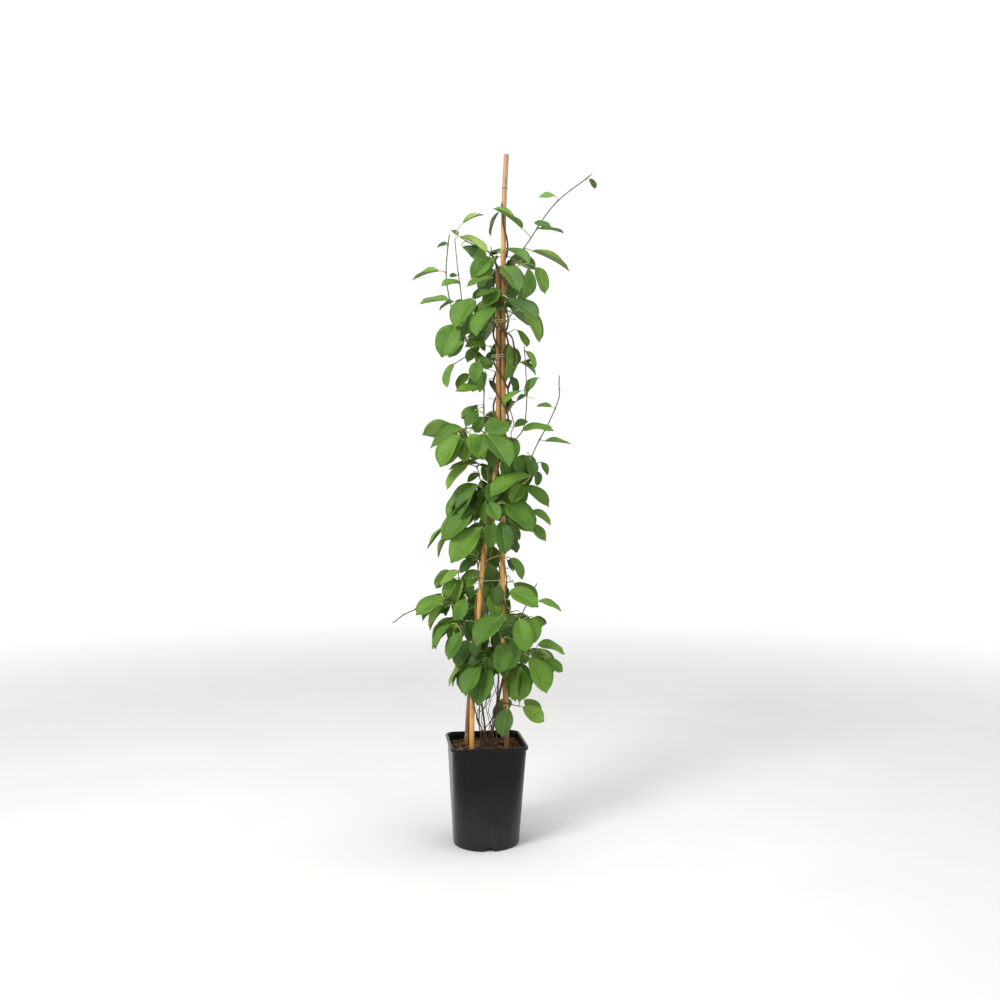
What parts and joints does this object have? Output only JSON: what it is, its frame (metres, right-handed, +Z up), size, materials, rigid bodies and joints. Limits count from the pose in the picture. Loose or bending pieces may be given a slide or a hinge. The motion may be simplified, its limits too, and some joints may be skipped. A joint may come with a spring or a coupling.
{
  "type": "potted climbing kiwi vine",
  "caption": "Hardy kiwi vine twining up a tripod of tied bamboo canes, with toothed oval leaves, in a square black plastic nursery pot filled with bark compost.",
  "frame": {"origin": "middle of the pot's flat foot, on the surface it stands on", "axes": "+Z up along the canes, the front of the plant toward -Y, the tallest cane on the +X side"},
  "size_m": [0.3497, 0.2205, 1.209],
  "materials": {
    "pot_plastic": "satin moulded black polypropylene with faint scuffs",
    "compost": "matte crumbly bark and peat",
    "bamboo": "smooth satin bamboo with joints",
    "bamboo_dark": "weathered satin bamboo",
    "tie_green": "thin soft plant tie",
    "tie_pale": "thin pale string",
    "foliage": "satin green leaf with pale veins, on brown twining stems"
  },
  "bodies": {
    "root": {"pot": "pot_plastic", "soil": "compost", "cane_tall": "bamboo", "cane_front": "bamboo", "cane_back": "bamboo_dark", "tie_upper": "tie_green", "tie_middle": "tie_green", "tie_bundle": "tie_pale", "tie_lower": "tie_green", "leafy_stem_1": "foliage", "leafy_stem_2": "foliage", "leafy_stem_3": "foliage", "leafy_stem_4": "foliage", "leafy_stem_5": "foliage", "leafy_stem_6": "foliage", "leafy_stem_7": "foliage", "leafy_stem_8": "foliage"}
  },
  "joints": []
}
